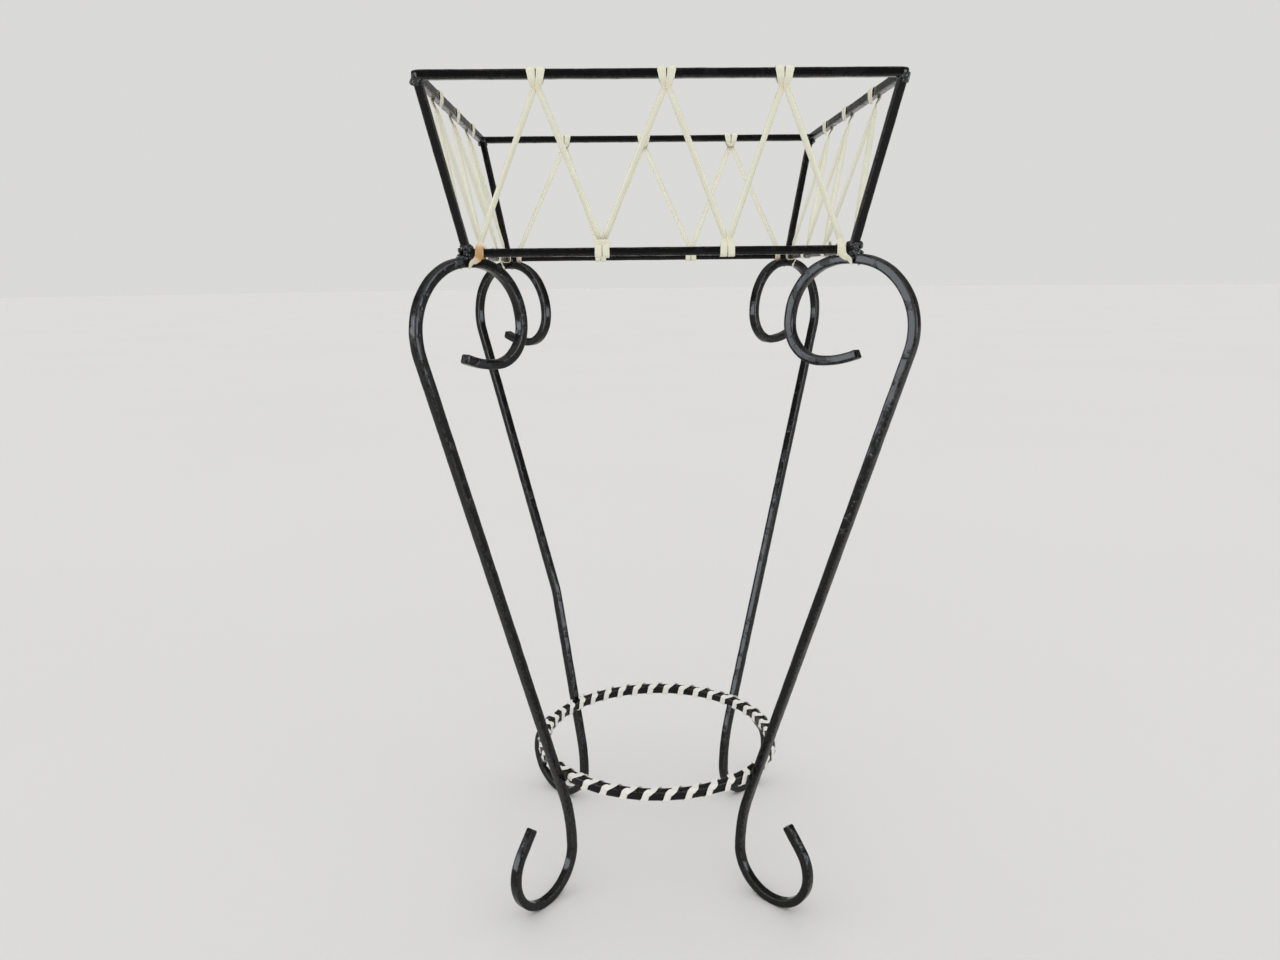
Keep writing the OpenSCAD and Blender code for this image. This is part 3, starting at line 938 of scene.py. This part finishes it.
class Hitch:
    """Two turns of strip round a rail, in the front side's place: x runs along the rail.

    The two strands meet at the neck and climb the near face. Past the rail, on its far face, a
    bridge joins the two turns across the neck. The near face is the inner one where the bridge
    shows outside.
    """

    # Distance of a turn's middle from the hitch's, in strip widths: over a top rail's edges, over a
    # bottom rail's, and at the waist between the two faces' ends
    TOP_SPREAD = 0.66
    LOW_SPREAD = 0.545
    WAIST_SPREAD = 0.53
    # How much wider the strip is pressed over a top rail
    TOP_FLARE = 0.18
    # The two strands at the neck: their offset to each side, their distance out from the rail's
    # middle, how they are stacked in strip thicknesses, their width, and the painted shade that
    # darkens and yellows the strip at the neck, where the strands crowd into the hitch
    NECK_ASIDE = 0.0012
    NECK_OUT = 0.0009
    NECK_STACK = 0.55
    NECK_WIDTH = 0.78
    NECK_SHADE = 0.12
    # Half length and width of a bridge that shows outside, and of one that doesn't
    LONG_BRIDGE = (0.003, 1.04)
    SHORT_BRIDGE = (0.0016, 0.788)
    BRIDGE_OUT = 0.0024
    BRIDGE_AGE = 0.1

    def __init__(self, x, top, bridge_out, strip):
        self.x = x
        self.half, self.z = (TOP_HALF, TOP_Z) if top else (LOW_HALF, LOW_Z)
        self.up = 1 if top else -1
        self.near = -1 if bridge_out else 1
        self.spread = (self.TOP_SPREAD if top else self.LOW_SPREAD) * strip.width
        self.flare = self.TOP_FLARE if top else 0.0
        self.strip = strip
        self.lift = strip.thickness / 2 + SNUG

    def at(self, aside, near, rise):
        """A point from its place along the rail, towards the near side, and up."""
        return Vector((self.x + aside, -self.half - self.near * near, self.z + self.up * rise))

    def looking(self, near, rise):
        """A direction, from its parts towards the near side and up."""
        return Vector((0, -self.near * near, self.up * rise))

    def neck(self, hand):
        """Where a strand enters the hitch: -1 the left one, 1 the right one."""
        stacked = self.NECK_OUT + self.NECK_STACK * self.strip.thickness * hand
        place = self.at(self.NECK_ASIDE * hand, stacked, -HALF - self.strip.neck)
        # The neck's value paints shade: darker, yellower strip where the strands crowd into the hitch
        return (place, self.looking(1, 0), self.NECK_WIDTH, self.NECK_SHADE)

    def turn(self, hand):
        """One turn, from low on the near face to low on the far face."""
        waist = self.WAIST_SPREAD * self.strip.width
        face = HALF + self.lift
        steps = [(face, -HALF, Vector((1, 0)), 0), (face, 0, Vector((1, 0)), 0.5)]
        steps += [(place.x, place.y, way, 1) for place, way in quarter_turn(HALF, self.lift)]
        steps += [(-near, rise, Vector((-way.x, way.y)), wide)
                  for near, rise, way, wide in steps[::-1]]
        return [(self.at(hand * (waist + (self.spread - waist) * wide), near, rise),
                 self.looking(way.x, way.y), 1.0 + self.flare * wide, 0.0)
                for near, rise, way, wide in steps]

    def bridge(self):
        """Across the neck on the far side, from the left turn to the right one."""
        low = -HALF - 0.5 * self.strip.neck
        reach, width = self.LONG_BRIDGE if self.near < 0 else self.SHORT_BRIDGE
        return [(self.at(aside, -self.BRIDGE_OUT, low), self.looking(-1, 0), width, self.BRIDGE_AGE)
                for aside in (-reach, 0, reach)]

    def wind(self, path):
        """Adds the whole hitch to a path, from the left strand's neck to the right one's."""
        left, right = self.turn(-1), self.turn(1)[::-1]
        smooth_run(path, [self.neck(-1), left[0]])
        for place in left:
            path.add(*place)
        smooth_run(path, [left[-1], *self.bridge(), right[0]])
        for place in right:
            path.add(*place)
        smooth_run(path, [right[-1], self.neck(1)])


# Places of the hitches along their rails, as parts of its length, and which low ones bridge outside
TOP_HITCHES = (0.245, 0.51, 0.75)
LOW_HITCHES = (0.35, 0.67)
LOW_BRIDGES_OUT = (True, False)
# Roll of each strand about itself, in degrees: it shows more or less of the strip's edge
STRAND_ROLLS = ((60, 26, 38, 30, 50, 34), (58, 24, 50, 30, 66, 40),
                (20, 56, 40, 64, 28, 50), (48, 30, 62, 22, 55, 36))
# How yellow the ties are: the front's left one and its collar, the other sides' left ones, every
# right one, and every right one's collar
OLD_TIE, FRESH_TIE, RIGHT_TIE, RIGHT_COLLAR = 1.0, 0.3, 0.15, 0.2


def tie(hand, strip, leg_half, age):
    """A corner tie's stations, from the strand down over the rail to the tail's tip."""
    x = hand * (LOW_HALF - strip.tie_inset)
    over = HALF + 1.6 * strip.thickness
    aslant = Vector((-hand, -1, 0)).normalized()
    ahead = Vector((0, -1, 0))
    places = (
        (-0.0006, 0.0012, HALF + 0.004, ahead, 0.9, 0.1 * age),
        (0.0, over, 0.7 * HALF, ahead, 1.12, 0.85 * age),
        (0.0004, over + 0.0002, -0.9 * HALF, ahead, 1.15, 0.95 * age),
        (0.0026, over + 0.0003, -HALF - 0.0022, aslant, 0.95, 0.3 * age),
        (0.0052, over - 0.0003, -HALF - 1.1 * leg_half, aslant, 0.72, 0.15 * age),
        (0.0070, over - 0.0010, -HALF - 2 * leg_half - 0.001, aslant, 0.32, 0.15 * age),
    )
    return [(Vector((x + hand * aside, -LOW_HALF - out, LOW_Z + rise)), way, swell, old)
            for aside, out, rise, way, swell, old in places]


def collar(hand, strip, age):
    """The closed turn under a corner tie, round the bottom rail."""
    path = Path(closed=True)
    x = hand * (LOW_HALF - strip.tie_inset - 0.0004)
    for place, way in around_bar(HALF, strip.thickness / 2 + SNUG):
        path.add((x, -LOW_HALF - place.x, LOW_Z + place.y), (0, -way.x, way.y), 1.0, age)
    return path


def lacing_paths(side, strip, leg_half):
    """One side's lacing: a single zigzag strip, tied at both corners, and the ties' collars."""
    old = OLD_TIE if SIDES[side] == "front" else FRESH_TIE
    hitches = []
    for i, f in enumerate(TOP_HITCHES):
        hitches.append(Hitch((2 * f - 1) * TOP_HALF, True, False, strip))
        if i < len(LOW_HITCHES):
            x = (2 * LOW_HITCHES[i] - 1) * LOW_HALF
            hitches.append(Hitch(x, False, LOW_BRIDGES_OUT[i], strip))
    path = Path()
    start, end = tie(-1, strip, leg_half, old)[::-1], tie(1, strip, leg_half, RIGHT_TIE)
    smooth_run(path, start)
    leave = start[-1]
    for hitch, roll in zip([*hitches, None], STRAND_ROLLS[side]):
        arrive = hitch.neck(-1) if hitch else end[0]
        stretch(path, leave, arrive, radians(roll), strip.roundness)
        if hitch:
            hitch.wind(path)
            leave = hitch.neck(1)
    smooth_run(path, end)
    turn = Matrix.Rotation(radians(90 * side), 4, "Z")
    collars = [collar(-1, strip, old), collar(1, strip, RIGHT_COLLAR)]
    return [one.moved(turn) for one in [path, *collars]]


# ---------------- the welds

# Weld beads: how far their drops spread, how many there are and their usual radius
HEAD_BEAD = ((0.0032, 0.0032, 0.0024), 18, 0.0015)
STRUT_BEAD = ((0.004, 0.004, 0.0024), 22, 0.0017)
CROWN_BEAD = ((0.0046, 0.0046, 0.002), 26, 0.0017)
RING_BEAD = ((0.001, 0.001, 0.0024), 9, 0.0014)
WELD_SEED = 41


def weld_cloud(centre, spread, count, radius):
    """Drops of melted metal about a centre, as (point, radius)."""
    cloud = []
    for _ in range(count):
        way = noise.random_unit_vector(size=3) * Vector(spread)
        cloud.append((Vector(centre) + way, radius * (0.7 + 0.6 * noise.random())))
    return cloud


def melt(name, clouds, material):
    """One mesh of weld beads from (point, radius) clouds."""
    mesh = bpy.data.meshes.new(name + "_points")
    mesh.from_pydata([point for point, _ in clouds], [], [])
    lump = mesh.attributes.new("lump", "FLOAT", "POINT")
    lump.data.foreach_set("value", [radius for _, radius in clouds])
    return grown(name, mesh, shared(bpy.data.node_groups, "melted_beads", bead_tree), {
        "Voxel": 0.0004, "Lumpiness": 0.0012, "Lump Size": 0.0024, "Material": material})


def corner_place(corner, reach, z):
    """A point on a corner's diagonal."""
    a = radians(225 + 90 * corner)
    return Vector((reach * cos(a), reach * sin(a), z))


# ---------------- operators

# Where each piece's uneven faces start in the noise, counted up from one piece to the next
FRAME_SEED, STRUT_SEED, LEG_SEED, RING_SEED, WRAP_SEED, LACING_SEED = 3, 7, 13, 19, 23, 29
# Name, place and power in watts of the panels that the gloss mirrors
PANELS = (("left_panel", (-2.3, -0.85, 0.6), 42), ("right_panel", (2.4, -0.85, 0.6), 40))
PANEL_WIDTH = 1.5
PANEL_HEIGHT = 1.1
FLOOR_RADIUS = 30
# Apparent width, in degrees, of the light from above and from each side
OVERCAST_SPREAD = 100
SKY_SPREAD = 80


def settings():
    """The stand's settings in this scene, as (iron, strip, finishes, stage)."""
    return [getattr(bpy.context.scene, name) for name in GROUPS]


class Step:
    """What every operator here shares: it makes its pieces from the scene's settings."""

    def execute(self, context):
        self.make(*settings())
        return {"FINISHED"}


class STAND_OT_frames(Step, bpy.types.Operator):
    """Bend the basket's two square frames"""

    bl_idname = "stand.frames"
    bl_label = "Basket Frames"

    def make(self, iron, strip, finishes, stage):
        for level, (node, frame_half, z) in enumerate((
                ("top_frame", TOP_HALF, TOP_Z), ("bottom_frame", LOW_HALF, LOW_Z))):
            path = square_path(frame_half, z, iron.corner_radius)
            forge("basket_" + node, node, path, BAR, FRAME_SEED + level)


class STAND_OT_struts(Step, bpy.types.Operator):
    """Forge the four struts between the frames"""

    bl_idname = "stand.struts"
    bl_label = "Struts"

    def make(self, iron, strip, finishes, stage):
        for corner, where in enumerate(CORNERS):
            forge("basket_strut_" + where, "strut_" + where, strut_path(corner, iron), BAR,
                  STRUT_SEED + corner)


class STAND_OT_legs(Step, bpy.types.Operator):
    """Forge the four scroll legs"""

    bl_idname = "stand.legs"
    bl_label = "Scroll Legs"

    def make(self, iron, strip, finishes, stage):
        shape = LegShape(iron)
        for corner, where in enumerate(CORNERS):
            forge("scroll_leg_" + where, "leg_" + where, shape.path(corner), iron.leg_bar,
                  LEG_SEED + corner)


class STAND_OT_ring(Step, bpy.types.Operator):
    """Roll the ring that ties the legs"""

    bl_idname = "stand.ring"
    bl_label = "Ring"

    def make(self, iron, strip, finishes, stage):
        forge("tie_ring", "ring", ring_path(), RING_BAR, RING_SEED)


class STAND_OT_ring_wrap(Step, bpy.types.Operator):
    """Wind white strip round the ring"""

    bl_idname = "stand.ring_wrap"
    bl_label = "Ring Wrap"

    def make(self, iron, strip, finishes, stage):
        white = vinyl("white_vinyl", finishes.white, finishes, 0.15)
        piece = lay_strip("wound_strip", [wrap_path(LegShape(iron), strip)],
                          strip.wrap_width, strip.thickness, white, WRAP_SEED)
        keep(piece, "white_strip", "ring_wrap")


class STAND_OT_lacing(Step, bpy.types.Operator):
    """Lace cream strip between the frames on all four sides"""

    bl_idname = "stand.lacing"
    bl_label = "Lacing"

    def make(self, iron, strip, finishes, stage):
        cream = vinyl("cream_vinyl", finishes.cream, finishes, 0.45)
        for side, where in enumerate(SIDES):
            paths = lacing_paths(side, strip, iron.leg_bar / 2)
            piece = lay_strip("laced_strip_" + where, paths,
                              strip.width, strip.thickness, cream, LACING_SEED + side)
            keep(piece, "cream_strip", "lacing_" + where)


class STAND_OT_welds(Step, bpy.types.Operator):
    """Melt the weld beads at the corners and the ring"""

    bl_idname = "stand.welds"
    bl_label = "Welds"

    def make(self, iron, strip, finishes, stage):
        shape = LegShape(iron)
        noise.seed_set(WELD_SEED)
        top = corner_reach(TOP_HALF, iron.corner_radius) + 0.0004
        low = corner_reach(LOW_HALF, iron.corner_radius) + 0.001
        beads = {"top_corner": [], "bottom_corner": [], "ring": []}
        for corner in range(4):
            beads["top_corner"] += weld_cloud(corner_place(corner, top, TOP_Z - HALF), *HEAD_BEAD)
            for z, bead in ((LOW_Z + HALF, STRUT_BEAD), (LOW_Z - HALF, CROWN_BEAD)):
                beads["bottom_corner"] += weld_cloud(corner_place(corner, low, z), *bead)
            reach = shape.ring_edge.x + 0.0008
            for hand in (-1, 1):
                aside = hand * (iron.leg_bar / 2 + 0.0006) / shape.ring_edge.x
                turn = shape.ring_turn(corner) + aside
                place = (reach * cos(turn), reach * sin(turn), RING_Z)
                beads["ring"] += weld_cloud(place, *RING_BEAD)
        metal = enamelled_weld(finishes)
        for where, clouds in beads.items():
            keep(melt(where + "_beads", clouds, metal), "weld_metal", where + "_welds")


class STAND_OT_stage(Step, bpy.types.Operator):
    """Lay the plain floor and set the soft light and the camera"""

    bl_idname = "stand.stage"
    bl_label = "Stage"

    def make(self, iron, strip, finishes, stage):
        bpy.context.scene.view_settings.view_transform = "Standard"
        self.lay_floor(stage)
        self.fill_air(stage)
        self.light(stage)
        self.aim_camera(stage)

    def lay_floor(self, stage):
        """A wide round floor."""
        build = bmesh.new()
        bmesh.ops.create_circle(build, cap_ends=True, segments=96, radius=FLOOR_RADIUS)
        mesh = bpy.data.meshes.new("floor")
        build.to_mesh(mesh)
        build.free()
        mesh.materials.append(floor_paint(stage))
        floor = bpy.data.objects.new("floor", mesh)
        bpy.context.scene.collection.objects.link(floor)

    def fill_air(self, stage):
        """Even pale air all round, whose light is fainter than it looks."""
        world = bpy.data.worlds.new("soft_air")
        bpy.context.scene.world = world
        world.use_nodes = True
        world.node_tree.nodes.clear()
        nodes = Nodes(world.node_tree)
        lit, seen = (nodes.add("ShaderNodeBackground", {}, {
            "Color": colour(stage.air_colour), "Strength": power}) for power in (
                stage.air_strength, 1))
        looked_at = nodes.add("ShaderNodeLightPath")
        air = nodes.add("ShaderNodeMixShader", {}, {0: looked_at, 1: lit, 2: seen})
        nodes.add("ShaderNodeOutputWorld", {}, {"Surface": air})

    def light(self, stage):
        """Two panels to mirror, and soft light from above and all round."""
        for name, place, power in PANELS:
            lamp = bpy.data.lights.new(name, "AREA")
            lamp.shape = "RECTANGLE"
            lamp.size = PANEL_WIDTH
            lamp.size_y = PANEL_HEIGHT
            lamp.energy = power
            lamp.color = stage.panel_colour
            panel = self.hang(lamp, place, Vector((0, 0, 0.35)) - Vector(place))
            panel.visible_diffuse = False
        self.shine("overcast", stage.overcast, OVERCAST_SPREAD, Vector((0.1, 0.2, -1)))
        for quarter, side in enumerate(SIDES):
            power = stage.surround + (stage.front_fill if side == "front" else 0)
            turn = Matrix.Rotation(radians(90 * quarter), 3, "Z")
            sky = self.shine(side + "_sky", power, SKY_SPREAD, turn @ Vector((0, 0.85, -0.5)))
            sky.visible_glossy = False

    def shine(self, name, power, spread, aim):
        """Even light from far off, spread over an angle in degrees."""
        sky = bpy.data.lights.new(name, "SUN")
        sky.energy = power
        sky.angle = radians(spread)
        return self.hang(sky, (0, 0, 3), aim)

    def hang(self, lamp, place, aim):
        """Puts a lamp in its place, looking along aim."""
        holder = bpy.data.objects.new(lamp.name, lamp)
        holder.location = place
        holder.rotation_euler = aim.to_track_quat("-Z", "Y").to_euler()
        bpy.context.scene.collection.objects.link(holder)
        return holder

    def aim_camera(self, stage):
        """The camera, level with the basket and close to the front."""
        lens = bpy.data.cameras.new("camera")
        lens.lens = stage.lens
        lens.sensor_width = 36
        camera = bpy.data.objects.new("camera", lens)
        camera.location = stage.camera_place
        tilt = Matrix.Rotation(radians(90) - stage.camera_pitch, 3, "X")
        yaw = Matrix.Rotation(-stage.camera_yaw, 3, "Z")
        roll = Matrix.Rotation(stage.camera_roll, 3, "Z")
        camera.rotation_euler = (yaw @ tilt @ roll).to_euler()
        bpy.context.scene.collection.objects.link(camera)
        bpy.context.scene.camera = camera


OPERATORS = (
    STAND_OT_stage, STAND_OT_frames, STAND_OT_struts, STAND_OT_legs, STAND_OT_ring,
    STAND_OT_ring_wrap, STAND_OT_lacing, STAND_OT_welds,
)


class STAND_PT_panel(bpy.types.Panel):
    """Lists the stand's operators and their settings"""

    bl_idname = "STAND_PT_panel"
    bl_label = "Laced Plant Stand"
    bl_space_type = "VIEW_3D"
    bl_region_type = "UI"
    bl_category = "Plant Stand"

    def draw(self, context):
        for operator in OPERATORS:
            self.layout.operator(operator.bl_idname)
        for group in settings():
            box = self.layout.box()
            for name in group.bl_rna.properties.keys():
                if name not in ("rna_type", "name"):
                    box.prop(group, name)


GROUPS = {
    "stand_iron": IronSizes, "stand_strip": StripSizes, "stand_finishes": Finishes,
    "stand_stage": StageSettings,
}
CLASSES = (*GROUPS.values(), *OPERATORS, STAND_PT_panel)


def register():
    for cls in CLASSES:
        bpy.utils.register_class(cls)
    for name, group in GROUPS.items():
        setattr(bpy.types.Scene, name, PointerProperty(type=group))


def unregister():
    for name in reversed(GROUPS):
        delattr(bpy.types.Scene, name)
    for cls in reversed(CLASSES):
        bpy.utils.unregister_class(cls)


def main():
    """Makes every piece around the frame."""
    register()
    for name in ("stage", "frames", "struts", "legs", "ring", "ring_wrap", "lacing", "welds"):
        getattr(bpy.ops.stand, name)()


if __name__ == "__main__":
    main()
